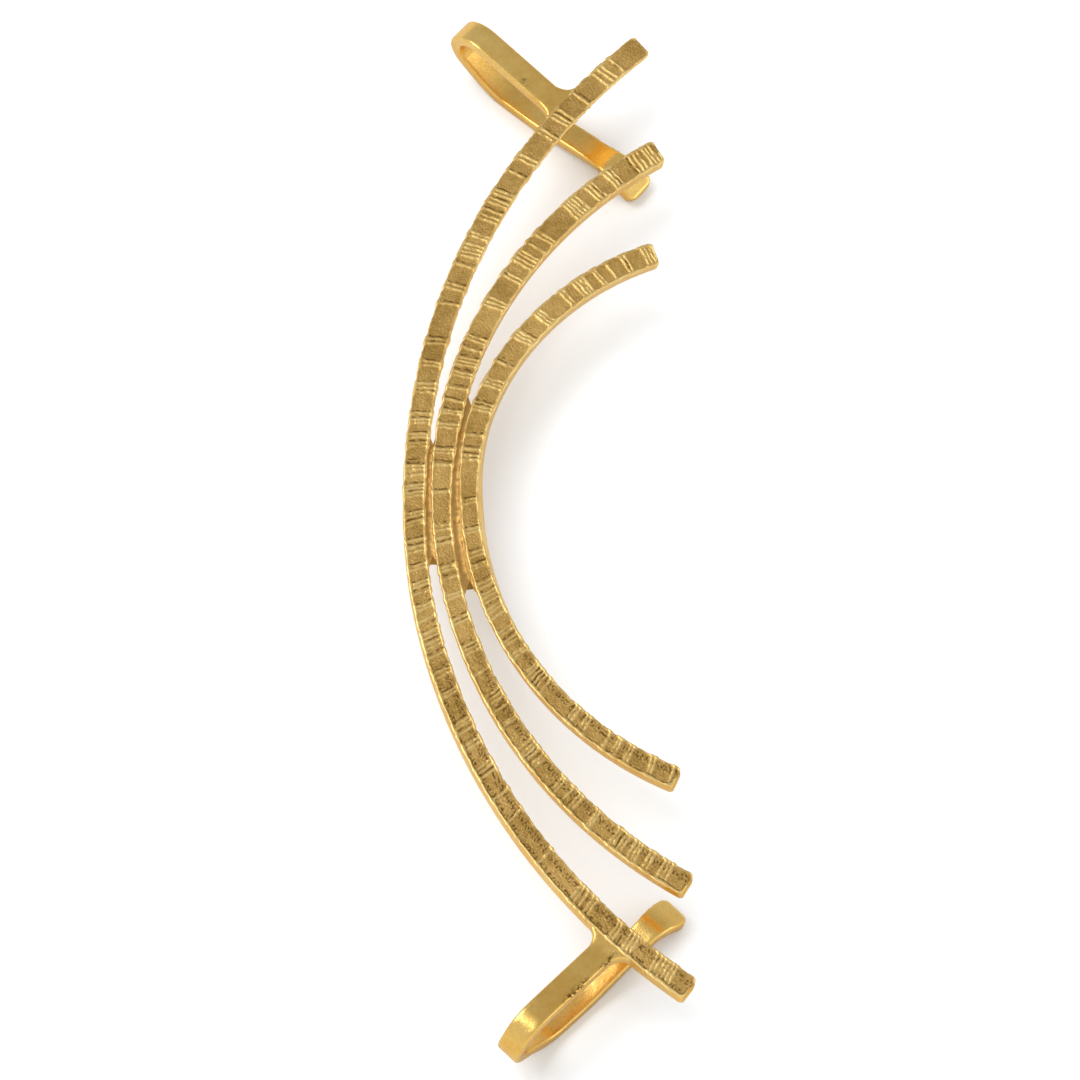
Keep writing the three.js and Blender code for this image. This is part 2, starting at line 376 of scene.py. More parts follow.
# How far the sides stand out at the back, at the same places; below 0 they lean in.
LEAN = {
    "outer_bar": ((0.0, 0.0, 0.0, 0.0, 0.0), (-0.2, -0.3, -0.3, -0.3, -0.3)),
    "middle_bar": ((-0.1, -0.1, -0.1, -0.1, -0.1), (-0.12, -0.12, -0.12, -0.12, -0.12)),
    "inner_bar": ((-0.1, -0.15, -0.15, -0.15, -0.15), (0.0, 0.22, 0.3, 0.02, -0.2)),
}
# The width of the rims at the left and right, at a bar's upper and lower end, in mm.
LEFT_RIM, RIGHT_RIM = (0.14, 0.19), (0.15, 0.11)
# How far a ridge climbs for each mm across the bar, at the bar's upper and lower end.
SLANT = {"outer_bar": (0.1, 0.2), "middle_bar": (0.06, 0.12), "inner_bar": (0.08, 0.16)}
# Bands of specks of painted shade at the lobe end, for dark steep cell walls: how far each is
# from the centre line, and its width.
SHADE_SPECK_BANDS = {
    "outer_bar": [(0.5, 0.2), (-0.3, 0.3)],
    "middle_bar": [(-0.25, 0.35)],
    "inner_bar": [(-0.35, 0.3)],
}


# %% Where a point is on its bar
def smooth_step(low, high, value):
    """0 up to one value, 1 from another on, and an S-shaped curve between them."""
    share = np.clip((value - low) / (high - low), 0, 1)
    return share * share * (3 - 2 * share)


def along_and_across(bar, places):
    """Distance along a bar's centre line and out from it, in mm, for an array of places."""
    x, y = places[:, 0] / MM, places[:, 1] / MM - bar["y"]
    radius = np.where(y > 0, bar["upper"][0], bar["lower"][0])
    from_centre = x - bar["left"] - radius
    across = np.hypot(from_centre, y) - radius
    along = radius * np.arctan2(y, -from_centre)
    return along, across


def soft_noise(along, across, fineness, seed):
    """Seeded noise between about -1 and 1 that is laid along the bar."""
    return np.array([
        noise.noise(Vector((a * fineness, b * fineness, seed)))
        for a, b in zip(along, across)
    ])


def distance_to(chart, along):
    """Distance from each point to the nearest charted line."""
    return np.abs(along[:, None] - np.array(chart)[None, :]).min(axis=1)


def ends_of(bar):
    """How far along a bar its upper and lower ends are, in mm."""
    upper, lower = (bar[side][0] * math.radians(bar[side][1]) for side in ("upper", "lower"))
    return upper, -lower


def slanted_along(name, along, across):
    """Distance along a bar, measured on lines that run as its ridges do."""
    above, below = SLANT[name]
    slant = below + (above - below) * smooth_step(-12, 12, along)
    slant = slant + 0.16 * soft_noise(along, 0 * along, 0.7, len(name) + 9)
    return along + slant * across + 0.06 * soft_noise(along, across, 2.4, len(name) + 11)


def edge_swell(name, along, across):
    """How far a bar's side stands out, in mm: most at the ridges, and never the same twice."""
    seed, side = len(name), np.sign(across)
    from_ridge = distance_to(RIDGES[name], slanted_along(name, along, across))
    wave = soft_noise(along, side * 7, 1.3, seed)
    fine_wave = soft_noise(along, side * 3, 3.4, seed + 5)
    near_ridge = 1 - smooth_step(0.05, 0.3, from_ridge)
    return SWELL * (0.55 * near_ridge + 0.55 * wave + 0.5 * fine_wave - 0.2)


def from_chart(chart, name, along, across):
    """A size from one of the charts above, for the place and the side that each point is on."""
    upper_end, lower_end = ends_of(BARS[name])
    stations = (lower_end, *STATIONS_BESIDE_MIDDLE, upper_end)
    left, right = (np.interp(along, stations, sizes) for sizes in chart[name])
    return np.where(across > 0, left, right)


def distance_to_edge(name, along, across):
    """Distance in from the outline of a bar's face, which has round corners."""
    upper_end, lower_end = ends_of(BARS[name])
    to_side = HALF_WIDTH - np.abs(across)
    to_side = to_side * from_chart(FACE, name, along, across) / HALF_WIDTH
    to_end = np.minimum(upper_end - along, along - lower_end)
    short = [np.clip(BAR_CORNER - distance, 0, None) for distance in (to_side, to_end)]
    return np.where(
        np.minimum(*short) > 0, BAR_CORNER - np.hypot(*short), np.minimum(to_side, to_end)
    )


# %% [markdown]
# The floors of the cells are rough as the tool left them, and rougher towards the lobe end,
# with small pits there, and specks of painted shade along one edge for dark steep walls. The
# rims and ridges were rubbed smooth in polishing, and a ridge may be worn through in places.
# Each of these is one small function of place, so that any of them can be changed without the
# others.


# %% The floors, ridge tops, specks and rims
def towards_lobe(along):
    """0 in the upper half of a bar, and 1 from 12 mm below its middle."""
    return smooth_step(6, -12, along)


def cell_floor(along, across, seed):
    grain = soft_noise(along, across, 9.5, seed + 2)
    pits = np.maximum(0, soft_noise(along, across, 5.0, seed + 3) - 0.2)
    lobe = towards_lobe(along)
    return FLOOR + (GRAIN + MORE_GRAIN * lobe) * grain + PITS * pits * lobe


def ridge_top(along, across, seed):
    wear = RIDGE_WEAR * (1 + soft_noise(along, across, 4.5, seed + 6))
    return wear + RIDGE_GAPS * smooth_step(0.15, 0.45, soft_noise(along, across, 2.1, seed + 8))


# Specks of painted shade in bands, standing for the dark steep walls of the cells.
def shade_specks(name, along, across):
    bands = [
        1 - smooth_step(width / 2, width, np.abs(across - place))
        for place, width in SHADE_SPECK_BANDS[name]
    ]
    dots = smooth_step(0.0, 0.22, soft_noise(along * 1.4, across, 5.5, len(name) + 4))
    return dots * smooth_step(-6, -14, along) * np.maximum.reduce(bands)


def rim_width(along, across):
    lobe = towards_lobe(along)
    left, right = (width[0] + (width[1] - width[0]) * lobe for width in (LEFT_RIM, RIGHT_RIM))
    return np.where(across > 0, left, right)


# %% Work out the relief of one bar
def relief_of(name, along, across, on_top):
    """How deep each point sinks below the rim, as a share, and how much painted shade it gets."""
    seed = len(name)
    edge = distance_to_edge(name, along, across)
    slanted = slanted_along(name, along, across)
    from_ridge = distance_to(RIDGES[name], slanted)
    wave = soft_noise(along, across, 1.7, seed + 1)
    rim_edge = rim_width(along, across) + WAVER * wave
    rim_edge = rim_edge + RIM_AT_RIDGE * (1 - smooth_step(0.1, 0.35, from_ridge))
    below_rim = smooth_step(rim_edge - RIM_SLOPE, rim_edge, edge)
    ridge_edge = RIDGE_HALF + WAVER * wave
    off_ridge = smooth_step(ridge_edge - RIDGE_SLOPE / 2, ridge_edge + RIDGE_SLOPE / 2, from_ridge)
    # The painted shade of a cut and that of the line at the foot of the rim are broken in the same
    # places.
    broken = smooth_step(-0.3, 0.2, soft_noise(along, across, 3.0, seed + 7))
    # A charted groove sinks a little deeper, and gets a thin line of painted shade for its dark
    # flank.
    shaded_groove = 1 - smooth_step(0.01, 0.08, distance_to(SHADED_GROOVES[name], slanted))
    shaded_groove = CUT_SHADE * shaded_groove * broken * below_rim
    # A thin line of painted shade at the foot of the left rim, in the lower half of the bar.
    rim_foot_shade = 1 - smooth_step(0.02, 0.07, np.abs(edge - rim_edge - 0.02))
    rim_foot_shade = rim_foot_shade * broken * np.where(across > 0, smooth_step(-8, -16, along), 0)
    dots = shade_specks(name, along, across) * below_rim * off_ridge
    floor, top = cell_floor(along, across, seed), ridge_top(along, across, seed)
    sunk = below_rim * (off_ridge * floor + (1 - off_ridge) * top) + CUT_DEPTH * shaded_groove
    # Painted shade: the darkest of the grooves, the specks and the line at the rim's foot.
    shade = np.maximum.reduce([shaded_groove, SPECK_SHADE * dots, RIM_FOOT_SHADE * rim_foot_shade])
    return np.where(on_top, sunk, 0), np.where(on_top, shade, 0)


# %% [markdown]
# A bar isn't equally wide all along. Its face is widest at the ends, with round corners, its
# sides swell at the ridges, and they lean, so that some show from above and some don't. No
# single operator does that along a curve, so here the points' places are set in code: each
# keeps its distance along the bar, and its distance across is scaled.


# %% Set the width along a bar
def width_share(name, along, across, height):
    """What a point's distance across its bar is multiplied by."""
    upper_end, lower_end = ends_of(BARS[name])
    to_end = np.minimum(upper_end - along, along - lower_end)
    inside = np.clip(1 - to_end / BAR_CORNER, 0, 1)
    corner = BAR_CORNER * (1 - np.sqrt(1 - inside * inside))
    half = from_chart(FACE, name, along, across)
    lean = from_chart(LEAN, name, along, across) * smooth_step(0.05, 1.0, height)
    fade = np.clip(1 - 1.2 * height, 0, 1) * smooth_step(0.3, 0.8, to_end)
    return (half + lean + edge_swell(name, along, across) * fade - corner) / HALF_WIDTH


def set_width(name, piece, along, across, share):
    """Puts every point at the same distance along its bar, and at a share of the one across."""
    bar = BARS[name]
    places = np.array([point.co for point in piece.data.vertices])
    for half, above in (("upper", True), ("lower", False)):
        chosen = (places[:, 1] / MM > bar["y"]) == above
        radius = bar[half][0]
        angle, out = along[chosen] / radius, radius + across[chosen] * share[chosen]
        places[chosen, 0] = (bar["left"] + radius - out * np.cos(angle)) * MM
        places[chosen, 1] = (bar["y"] + out * np.sin(angle)) * MM
    piece.data.vertices.foreach_set("co", places.astype(np.float32).ravel())
    piece.data.update()


# %% Cut the strips finely, weigh the points and displace them
# A painted bright reflection: the share of warm side gold kept on the inner bar's hollow side.
INNER_SIDE_REFLECTION = 0.2  # the inner bar's hollow side is nearly as pale as the rims


def keep_attribute(piece, name, values):
    """Keeps a number at each point, for the material to read."""
    attribute = piece.data.attributes.new(name, "FLOAT", "POINT")
    attribute.data.foreach_set("value", values.astype(np.float32))


def carve(name, piece):
    """Gives a bar its widths, its relief and what its material needs to know."""
    bar = BARS[name]
    within_strip = 0.3 * BAR_WIDTH / TOP_STRIPS

    def runs_along(first, second):
        along, across = along_and_across(bar, np.array([first, second]))
        sideways = max(abs(across[0] - across[1]) * MM, abs(first.z - second.z))
        return sideways < within_strip and abs(along[0] - along[1]) * MM > SPIN_STEP / 2

    select_edges(piece, runs_along)
    bpy.ops.mesh.subdivide(number_cuts=ALONG_CUTS - 1)
    bpy.ops.object.mode_set(mode="OBJECT")
    places = np.array([point.co for point in piece.data.vertices])
    along, across = along_and_across(bar, places)
    height = (BAR_TOP - places[:, 2]) / BAR_THICK
    sunk, shade = relief_of(name, along, across, height < 0.02)
    keep_attribute(piece, "depth", sunk)
    keep_attribute(piece, "shade", shade)
    # The sides get the warm gold, a painted reflection; the inner bar's hollow side gets mostly the
    # pale rim gold, a painted bright reflection.
    bright_reflecting_side = (name == "inner_bar") & (across < 0)
    side = smooth_step(0.03, 0.2, height) * np.where(bright_reflecting_side, INNER_SIDE_REFLECTION, 1)
    keep_attribute(piece, "side", side)
    set_width(name, piece, along, across, width_share(name, along, across, height))
    group = piece.vertex_groups.new(name="sunk")
    for index in np.flatnonzero(sunk > 0):
        group.add([int(index)], min(1.0, float(sunk[index])), "REPLACE")
    sink = piece.modifiers.new("sink", "DISPLACE")
    sink.direction, sink.mid_level, sink.strength = "Z", 0, -CELL_DEPTH
    sink.vertex_group = "sunk"
    apply_modifiers(piece)
    bpy.ops.object.shade_smooth()


for bar_name, made in bars.items():
    carve(bar_name, made)
    show_size(made)

# %% [markdown]
# ## The clips: a strip bent like a hairpin
#
# A clip is a flat strip that was bent cold. It leaves the side of the outer bar, turns back
# under the bars, runs flat for a short way where it lies on the table, rises towards the ear
# and ends in a wider paddle that curls away, so that it slides on without scratching. It is
# made as it was bent: a section is extruded along each straight and spun round each bend. A
# curve with a bevel would be shorter to write, but the end of the strip couldn't be shaped.
# The first sections are wider, for the fillet of solder that joins the clip to the bar.

# %% Sizes of the clips
CLIP_WIDTH = 1.7 * MM
CLIP_THICK = 0.85 * MM
CLIP_ROUND = 0.17 * MM
CLIP_BELOW_TOP = 0.25 * MM
CLIP_STRAIGHT_STEP = 0.3 * MM
CLIP_TURN_STEP = math.radians(5)
FRONT_RISE = 7  # degrees
STRIP_CUTS = 7
# Out from the bar's side, and the half width of the strip there, in mm.
FILLET = [(-0.5, 2.0), (-0.25, 1.9), (0.0, 1.7), (0.12, 1.42), (0.3, 1.17), (0.6, 0.99), (1.0, 0.9)]
ROOT_RISE = 0.14  # in mm; the strip's root climbs the bar's side
FILLET_SHARE = {"upper_clip": (1.0, 0.45), "lower_clip": (1.0, 1.0)}  # at either edge
# Straights as a length in mm, bends as the heading to turn to in degrees and the radius in mm.
CLIP_PATH = [
    ("front leg", 5.28),
    ("bend", -90, 2.0),
    ("bend", -142, 1.8),
    ("straight", 1.83),
    ("bend", -180, 3.5),
    ("straight", 1.77),
    ("bend", -191, 6.0),
    ("back leg", 4.9),
    ("bend", -147, 2.0),
]
# The paddle: where it begins to widen, how many times wider it gets, its straight end, the
# rounding of its corners seen from above, and that of its edge seen from the side.
PADDLE_START, PADDLE_WIDER = -3.2 * MM, 1.28
PADDLE_TIP = 1.0 * MM
PADDLE_CORNER = 0.6 * MM
NOSE = 0.3 * MM
PADDLE_STEPS = 16
# Where each clip leaves the outer bar, in degrees along its arc, the heading of its front leg,
# how much "longer" that leg is in mm, the "turn" of the back leg in degrees about a point so
# many mm out from the bar, and by how many mm the back leg has more "reach".
CLIPS = {
    "upper_clip": {
        "side": "upper", "at": 42.7, "heading": 44.5, "longer": 0.0, "turn": 2.5,
        "turned_at": 8.0, "reach": 0.45,
    },
    "lower_clip": {
        "side": "lower", "at": 44.0, "heading": -44.5, "longer": 0.42, "turn": -2.5,
        "turned_at": 0.0, "reach": 0.0,
    },
}
# Before a clip is placed, its front leg is above one height and its back leg below another.
FRONT_LEG, BACK_LEG = -1.5 * MM, -3 * MM
# The turn grows from nothing at one height to all of it at another.
TWIST_TOP, TWIST_BOTTOM, TWIST_STEPS = -0.8 * MM, -4.2 * MM, 12


# %% Helpers that push and bend a strip
def push_section(length, heading):
    """Extrudes the selected section along its heading, in steps of about equal length."""
    steps = max(1, round(length / CLIP_STRAIGHT_STEP))
    stride = length / steps
    move = (stride * math.cos(heading), 0, stride * math.sin(heading))
    for _ in range(steps):
        bpy.ops.mesh.extrude_region_move(TRANSFORM_OT_translate={"value": move})


def middle_of_selection(piece):
    """The middle of the selected points, read in object mode."""
    bpy.ops.object.mode_set(mode="OBJECT")
    chosen = [point.co for point in piece.data.vertices if point.select]
    bpy.ops.object.mode_set(mode="EDIT")
    low = Vector(min(place[axis] for place in chosen) for axis in range(3))
    high = Vector(max(place[axis] for place in chosen) for axis in range(3))
    return (low + high) / 2


def bend_section(piece, heading, target, radius):
    """Spins the selected section from one heading to another."""
    side = math.copysign(radius, target - heading)
    centre = middle_of_selection(piece) + Vector(
        (-side * math.sin(heading), 0, side * math.cos(heading))
    )
    steps = max(2, round(abs(target - heading) / CLIP_TURN_STEP))
    spin_section(centre, heading - target, steps, axis=(0, 1, 0))


def strip_section(name):
    """The strip's section, standing across X at the first place of the fillet."""
    piece = section_plane(name, CLIP_WIDTH, CLIP_THICK, CLIP_ROUND, 4)

    def on_broad_side(first, second):
        return all(abs(co.z + CLIP_THICK / 2) > CLIP_THICK / 2 - TINY for co in (first, second))

    divide_edges(piece, on_broad_side, STRIP_CUTS)
    bpy.ops.object.mode_set(mode="EDIT")
    bpy.ops.mesh.select_mode(type="FACE")
    bpy.ops.mesh.select_all(action="SELECT")
    bpy.ops.transform.rotate(value=math.pi / 2, orient_axis="Z", center_override=(0, 0, 0))
    start, half = FILLET[0]
    bpy.ops.transform.resize(value=(1, half * 2 * MM / CLIP_WIDTH, 1), center_override=(0, 0, 0))
    bpy.ops.transform.translate(value=(start * MM, 0, ROOT_RISE * MM - CLIP_BELOW_TOP))
    return piece


# %% [markdown]
# The end of the paddle is round both ways: its corners seen from above, and its edge seen from
# the side. Insets would cross each other in the corners, so the end is pushed out in short
# steps instead, and each new section is scaled down as two quarter circles ask.


# %% Round the end of the paddle
def round_paddle(piece, heading):
    """Pushes the strip's end out in sections that get narrower and thinner."""
    width, thickness = CLIP_WIDTH / 2, CLIP_THICK / 2
    for step in range(PADDLE_STEPS):
        here, after = (math.pi / 2 * k / PADDLE_STEPS for k in (step, step + 1))
        push_section(PADDLE_CORNER * (math.sin(after) - math.sin(here)), heading)
        inside = max(0, 1 - PADDLE_CORNER * (1 - math.sin(after)) / NOSE)
        narrower = CLIP_WIDTH / 2 - PADDLE_CORNER * (1 - math.cos(after))
        thinner = CLIP_THICK / 2 - NOSE * (1 - math.sqrt(1 - inside**2))
        bpy.ops.transform.resize(
            value=(thinner / thickness, narrower / width, thinner / thickness),
            center_override=middle_of_selection(piece),
        )
        width, thickness = narrower, thinner


# %% Bend one clip
def push_fillet():
    """Extrudes the selected section through the widths of the fillet."""
    for (start, before), (end, after) in zip(FILLET, FILLET[1:]):
        rise = math.tan(math.radians(FRONT_RISE)) * max(0, end - max(0, start)) * MM
        rise -= ROOT_RISE * MM * (max(0, end) - max(0, start)) / FILLET[-1][0]
        move = ((end - start) * MM, 0, rise)
        bpy.ops.mesh.extrude_region_move(TRANSFORM_OT_translate={"value": move})
        bpy.ops.transform.resize(value=(1, after / before, 1), center_override=(0, 0, 0))
    narrowed = CLIP_WIDTH / MM / 2 / FILLET[-1][1]
    bpy.ops.transform.resize(value=(1, narrowed, 1), center_override=(0, 0, 0))


def bend_clip(name):
    """Bends the strip of one clip, still lying along the X axis."""
    clip = CLIPS[name]
    piece = strip_section(name)
    push_fillet()
    heading = math.radians(FRONT_RISE)
    for kind, *sizes in CLIP_PATH:
        if kind == "bend":
            target = math.radians(sizes[0])
            bend_section(piece, heading, target, sizes[1] * MM)
            heading = target
        else:
            length = sizes[0] + (clip["reach"] if kind == "back leg" else 0)
            push_section(length * MM, heading)
            if kind == "front leg" and clip["longer"]:
                push_section(clip["longer"] * MM, 0)
    push_section(PADDLE_TIP, heading)
    round_paddle(piece, heading)
    bpy.ops.object.mode_set(mode="OBJECT")
    close_and_face_out(piece)
    return piece


# %% [markdown]
# A few changes are made to the bent strip as a maker would with pliers and a file: the fillet
# is thinned at one edge, the paddle is hammered wider, and the back leg is turned a little, so
# that it runs under the bars at the angle that the real one has. Each takes the points past
# some place and scales or turns them, a little at a time for a smooth change.


# %% Trim the fillet, widen the paddle, twist the back leg and set the clip in place
def widen_paddle(piece):
    """Flares the end of the strip little by little."""
    full = min(point.co.x for point in piece.data.vertices) + 3 * NOSE
    growth = PADDLE_WIDER ** (1 / PADDLE_STEPS)
    for step in range(PADDLE_STEPS):
        edge = PADDLE_START + (full - PADDLE_START) * step / PADDLE_STEPS
        select_points(piece, lambda co: co.x < edge and co.z < BACK_LEG)
        bpy.ops.transform.resize(value=(1, growth, 1), center_override=(0, 0, 0))
        bpy.ops.object.mode_set(mode="OBJECT")


def trim_fillet(piece, name):
    """Takes the flare at the bar down to a share of itself, at either edge of the strip."""
    for sign, share in zip((-1, 1), FILLET_SHARE[name]):
        half = CLIP_WIDTH / 2
        for start, wide in FILLET[:-1]:
            wanted = half + (wide * MM - half) * share
            select_points(
                piece,
                lambda co: abs(co.x / MM - start) < 0.01 and co.y * sign > 0 and co.z > FRONT_LEG,
            )
            bpy.ops.transform.resize(value=(1, wanted / (wide * MM), 1), center_override=(0, 0, 0))
            bpy.ops.object.mode_set(mode="OBJECT")


def twist_back_leg(piece, clip):
    """Turns the back leg about an upright line, more and more with depth."""
    pivot = (clip["turned_at"] * MM, 0, 0)
    turn = math.radians(clip["turn"]) / TWIST_STEPS
    for step in range(TWIST_STEPS):
        level = TWIST_TOP + (TWIST_BOTTOM - TWIST_TOP) * (step + 0.5) / TWIST_STEPS
        select_points(piece, lambda co: co.z < level)
        bpy.ops.transform.rotate(value=turned(turn), orient_axis="Z", center_override=pivot)
        bpy.ops.object.mode_set(mode="OBJECT")


def place_clip(piece, clip):
    """Carries a clip from the X axis to its place at the outer bar's side."""
    bar = BARS["outer_bar"]
    place = point_on(bar, clip["side"], math.radians(clip["at"]), offset=HALF_WIDTH)
    select_points(piece, lambda co: True)
    bpy.ops.transform.rotate(
        value=turned(math.radians(180 - clip["heading"])), orient_axis="Z",
        center_override=(0, 0, 0),
    )
    bpy.ops.transform.translate(value=place)
    bpy.ops.object.mode_set(mode="OBJECT")


# %% [markdown]
# The front legs have a few dark marks. Most are stains left where polish didn't reach; the one
# by the root of the lower clip is painted shade of a crease there. They lie in the surface, so
# they are a matter of colour: points near a charted mark get a weight, and the material breaks
# it up with a noise.


# %% Mark the front legs
# How far out from the bar each mark is, how far across the strip, and its half sizes, in mm.
# A mark's edge is soft, so the strip's narrow sides are left out.
MARKS = {
    "upper_clip": [(2.6, 0.35, 0.3, 0.2)],
    # The first mark on the lower clip, by its root, is painted shade of a crease; the others are
    # stains.
    "lower_clip": [(0.9, 0.74, 0.75, 0.18), (3.9, 0.7, 1.2, 0.2)],
}


def mark_clip(piece, name):
    """Weighs the points near the charted marks on the strip's broad faces."""
    places = np.array([point.co for point in piece.data.vertices]) / MM
    mark = np.zeros(len(places))
    for x, y, half_length, half_width in MARKS[name]:
        off = np.hypot((places[:, 0] - x) / half_length, (places[:, 1] - y) / half_width)
        mark = np.maximum(mark, 1 - smooth_step(0.4, 1.4, off))
    on_face = np.abs(places[:, 1]) < CLIP_WIDTH / MM / 2 - 0.01
    on_face = on_face & (places[:, 2] > FRONT_LEG / MM)
    keep_attribute(piece, "mark", np.where(on_face, mark, 0))


# %% Make both clips
def make_clip(name):
    piece = bend_clip(name)
    mark_clip(piece, name)
    trim_fillet(piece, name)
    widen_paddle(piece)
    twist_back_leg(piece, CLIPS[name])
    place_clip(piece, CLIPS[name])
    only(piece)
    bpy.ops.object.shade_smooth()
    return piece


clips = {name: make_clip(name) for name in CLIPS}
for made in clips.values():
    show_size(made)

# %% [markdown]
# ## The solder webs
#
# Round the middle the bars are joined by solder that ran into the narrow gap between them. Its
# top lies below the bars' faces and sags in the middle, and at its ends it clings to the bars,
# so that each end is a notch. It is spun like a bar, along the line half way between its
# neighbours. The notches and the run of the top follow that curve, which no single operator
# does, so their points are moved in code.

# %% Sizes of the webs
# The bars on either side, and how far each web reaches up and down from the middle, in mm.
WEBS = {
    "outer_web": {"between": ("outer_bar", "middle_bar"), "up": 5.9, "down": 3.9},
    "inner_web": {"between": ("middle_bar", "inner_bar"), "up": 8.0, "down": 6.1},
}
WEB_WIDTH = 0.9 * MM
WEB_THICK = 0.7 * MM
WEB_BELOW_TOP = 0.18 * MM
WEB_SAG = 0.12 * MM
SAG_STEPS = [(0.3, 0.6), (0.17, 0.4)]  # how far from the middle, and how much of the sag
WEB_CORNER = 0.05 * MM
WEB_NOTCH, NOTCH_HALF = 0.9 * MM, 0.36 * WEB_WIDTH
WEB_UNDERCUT = 0.8  # how far the ends draw back for each unit of depth
WEB_STEPS = 60
RUNS = [(1.6, 0.07), (4, 0.05)]  # waves of the top: how many for each mm, and how high in mm


# %% Notch and roughen a web
def notch_web(piece, left, y, radii):
    """Draws back the middle of both ends, and their undersides."""
    for sign, radius in zip((1, -1), radii):
        end = max(point.co.y * sign for point in piece.data.vertices)
        for point in piece.data.vertices:
            if (point.co.y - y) * sign <= 0:
                continue
            across = abs(math.hypot(point.co.x - left - radius, point.co.y - y) - radius)
            middle = max(0, 1 - across / NOTCH_HALF)
            to_end = max(0, 1 - (end - point.co.y * sign) / (2 * WEB_NOTCH))
            depth = BAR_TOP - WEB_BELOW_TOP - point.co.z
            point.co.y -= sign * (WEB_NOTCH * middle + WEB_UNDERCUT * depth) * to_end


def run_solder(piece):
    """Makes the top of a web uneven, as solder is where it ran."""
    for point in piece.data.vertices:
        if point.co.z > BAR_TOP - WEB_BELOW_TOP - WEB_THICK / 2:
            place = point.co / MM
            point.co.z += sum(high * noise.noise(place * waves) for waves, high in RUNS) * MM


# %% Spin the webs
def make_web(name):
    """Spins a web from its upper end to its lower one, half way between two bars."""
    first, second = (BARS[bar] for bar in WEBS[name]["between"])
    up, down = WEBS[name]["up"], WEBS[name]["down"]
    left = (first["left"] + second["left"]) / 2 * MM
    y = (first["y"] + second["y"]) / 2 * MM
    upper_radius, lower_radius = (
        (first[side][0] + second[side][0]) / 2 for side in ("upper", "lower")
    )
    piece = section_plane(name, WEB_WIDTH, WEB_THICK, WEB_CORNER, 2)
    for level in (0, -WEB_THICK):
        divide_edges(piece, lambda a, b: abs(a.z + b.z - 2 * level) < TINY, STRIP_CUTS)
    for half, share in SAG_STEPS:
        select_points(piece, lambda co: co.z > -WEB_SAG and abs(co.x) < WEB_WIDTH * half)
        bpy.ops.transform.translate(value=(0, 0, -WEB_SAG * share))
    bpy.ops.mesh.select_mode(type="FACE")
    bpy.ops.mesh.select_all(action="SELECT")
    bpy.ops.transform.translate(value=(left, y, BAR_TOP - WEB_BELOW_TOP))
    upper_centre = (left + upper_radius * MM, y, 0)
    lower_centre = (left + lower_radius * MM, y, 0)
    bpy.ops.transform.rotate(
        value=turned(-up / upper_radius), orient_axis="Z", center_override=upper_centre
    )
    spin_section(upper_centre, up / upper_radius, WEB_STEPS)
    spin_section(lower_centre, down / lower_radius, WEB_STEPS)
    bpy.ops.object.mode_set(mode="OBJECT")
    close_and_face_out(piece)
    notch_web(piece, left, y, (upper_radius * MM, lower_radius * MM))
    run_solder(piece)
    only(piece)
    bpy.ops.object.shade_smooth_by_angle(angle=math.radians(50))
    return piece


webs = {name: make_web(name) for name in WEBS}
for made in webs.values():
    show_size(made)

# %% [markdown]
# ## The gold
#
# All of it is the same plating, but it looks different where it was finished differently: the
# clips are polished, the rims and ridges rubbed, and the cells left matt. Gold has no colour of
# its own but the tint of what it reflects, so the material is fully metallic, and what changes
# over the surface is a slight drift of the tint, the roughness, and a fine relief. The drift
# and the relief are shader groups, each built once and used by every gold.


# %% Helpers for nodes
def new_group(name, inputs, outputs):
    """A node group with its input and output nodes."""
    group = bpy.data.node_groups.new(name, "ShaderNodeTree")
    for socket_name, kind, default in inputs:
        socket = group.interface.new_socket(socket_name, in_out="INPUT", socket_type=kind)
        if default is not None:
            socket.default_value = default
    for socket_name, kind in outputs:
        group.interface.new_socket(socket_name, in_out="OUTPUT", socket_type=kind)
    return group, group.nodes.new("NodeGroupInput"), group.nodes.new("NodeGroupOutput")


def add(tree, kind, **settings):
    """Adds a node. Settings that name an input set it, and the others set a property."""
    node = tree.nodes.new(kind)
    for name, value in settings.items():
        label = name.replace("_", " ").title()
        if label in node.inputs and not hasattr(type(node), name):
            node.inputs[label].default_value = value
        else:
            setattr(node, name, value)
    return node


def link(tree, start, end):
    tree.links.new(start, end)


def feed(tree, value, socket):
    """Links a socket to an input, or sets the input if it is given a plain value."""
    if isinstance(value, bpy.types.NodeSocket):
        link(tree, value, socket)
    else:
        socket.default_value = value


def mix_colours(tree, share, first, second):
    node = add(tree, "ShaderNodeMix", data_type="RGBA")
    for place, value in zip((0, 6, 7), (share, first, second)):
        feed(tree, value, node.inputs[place])
    return node.outputs[2]


def mix_numbers(tree, share, first, second):
    node = add(tree, "ShaderNodeMix", data_type="FLOAT")
    for place, value in zip((0, 2, 3), (share, first, second)):
        feed(tree, value, node.inputs[place])
    return node.outputs[0]


def multiply(tree, first, second):
    node = add(tree, "ShaderNodeMath", operation="MULTIPLY")
    feed(tree, first, node.inputs[0])
    feed(tree, second, node.inputs[1])
    return node.outputs[0]


def stretch(tree, value, low, high):
    """0 up to one value and 1 from another on."""
    node = add(tree, "ShaderNodeMapRange", from_min=low, from_max=high)
    link(tree, value, node.inputs["Value"])
    return node.outputs["Result"]


def noise_texture(tree, place, scale, detail, roughness=0.55):
    node = add(tree, "ShaderNodeTexNoise", scale=scale, detail=detail, roughness=roughness)
    link(tree, place, node.inputs["Vector"])
    return node.outputs["Fac"]


# %% [markdown]
# Plated metal is never one flat colour: the layer is thicker here and thinner there, which
# shows as a slow drift between a deeper and a paler gold. Where it wasn't polished it also
# keeps the skin of the casting, fine grains with small pits.


# %% Shader groups for the tint and the grain
BROAD_DRIFT, FINE_DRIFT, GRAINS, CASTING_PITS = 260, 2600, 9000, 5200  # to the metre


